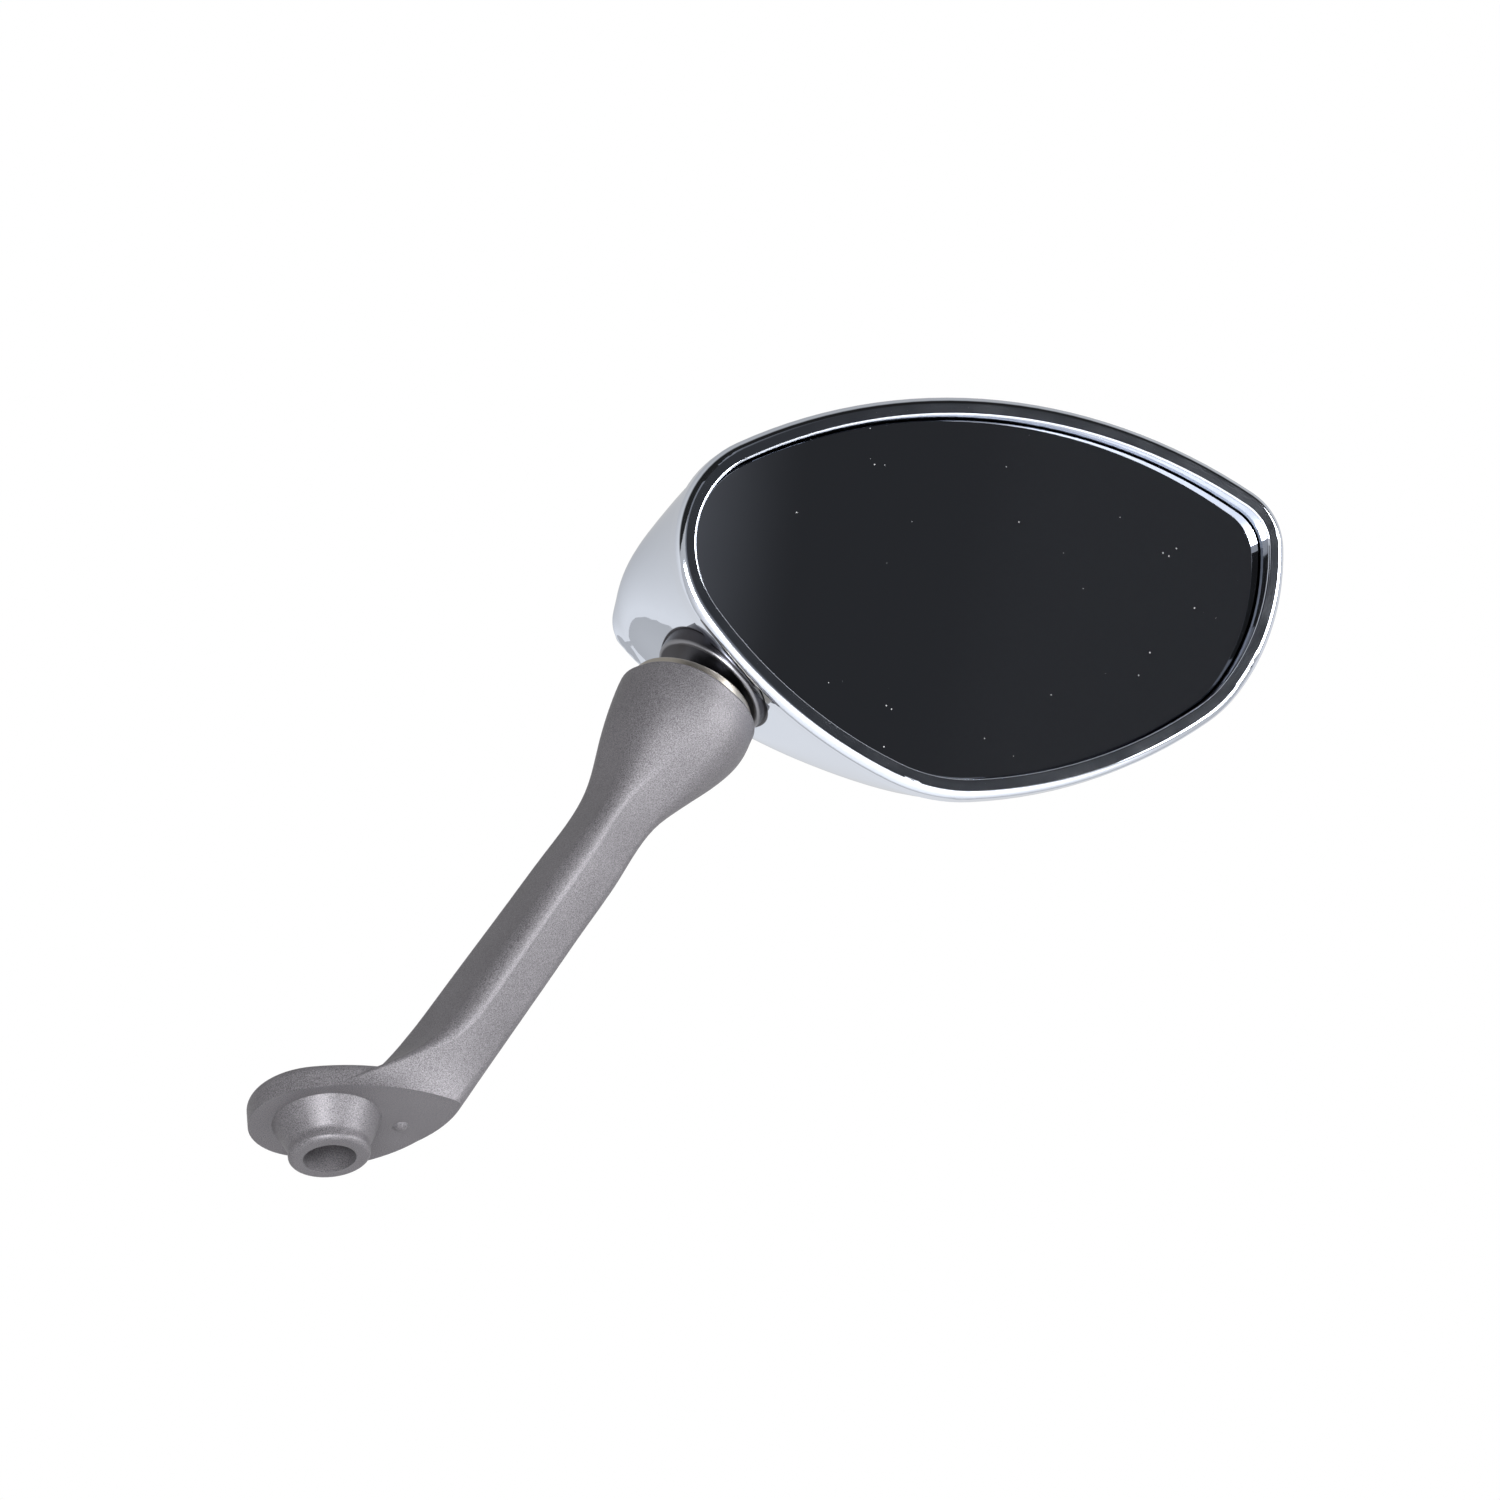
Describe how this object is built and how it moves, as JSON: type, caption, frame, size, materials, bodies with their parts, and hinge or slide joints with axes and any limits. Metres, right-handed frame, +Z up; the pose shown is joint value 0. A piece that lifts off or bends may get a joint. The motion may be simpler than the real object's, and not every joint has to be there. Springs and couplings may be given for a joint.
{
  "type": "motorcycle mirror",
  "caption": "Right-hand motorcycle mirror: cast arm with a bored foot, ball joint in a socket cup, and a chromed teardrop head with convex glass.",
  "frame": {"origin": "where the foot's bore axis meets the seat face under the foot plate", "axes": "+Z up the bore axis, +X outboard along the arm's lean, -Y back towards the rider"},
  "size_m": [0.2432, 0.0655, 0.1659],
  "materials": {
    "painted_arm": "satin metallic silver-grey paint on a cast alloy",
    "bare_steel": "bare turned steel",
    "white_plastic": "unpainted bearing plastic",
    "chromed_steel": "bright chrome plating",
    "zinc_steel": "zinc plated",
    "chromed_plastic": "bright chrome plating on moulded plastic",
    "mirror_glass": "dark tinted convex mirror",
    "foam_tape": "black foam tape",
    "black_plastic": "moulded black plastic"
  },
  "bodies": {
    "arm": {"arm": "painted_arm", "retaining_ring": "bare_steel", "disc_spring_1": "zinc_steel", "disc_spring_2": "zinc_steel", "disc_spring_3": "zinc_steel"},
    "lower_seat": {"lower_ball_seat": "white_plastic"},
    "liner": {"ball_liner": "white_plastic"},
    "head": {"ball_stud": "chromed_steel", "stud_washer": "zinc_steel", "lock_washer": "zinc_steel", "stud_nut": "zinc_steel", "housing": "chromed_plastic", "mirror_glass": "mirror_glass", "adhesive_pad": "foam_tape", "backing_plate": "black_plastic", "backing_screw_1": "zinc_steel", "backing_screw_2": "zinc_steel", "backing_screw_3": "zinc_steel"}
  },
  "joints": [
    {"name": "head_swivel", "type": "hinge", "parent": "arm", "child": "lower_seat", "pos_m": [0.08485, 0, 0.09278], "axis": [0.4617, 0, 0.887], "continuous": true},
    {"name": "head_tilt", "type": "hinge", "parent": "lower_seat", "child": "liner", "pos_m": [0.08485, 0, 0.09278], "axis": [0, 1, 0], "range_deg": [-31, 1.5]},
    {"name": "head_spin", "type": "hinge", "parent": "liner", "child": "head", "pos_m": [0.08485, 0, 0.09278], "axis": [0.6756, 0, 0.7373], "continuous": true}
  ]
}
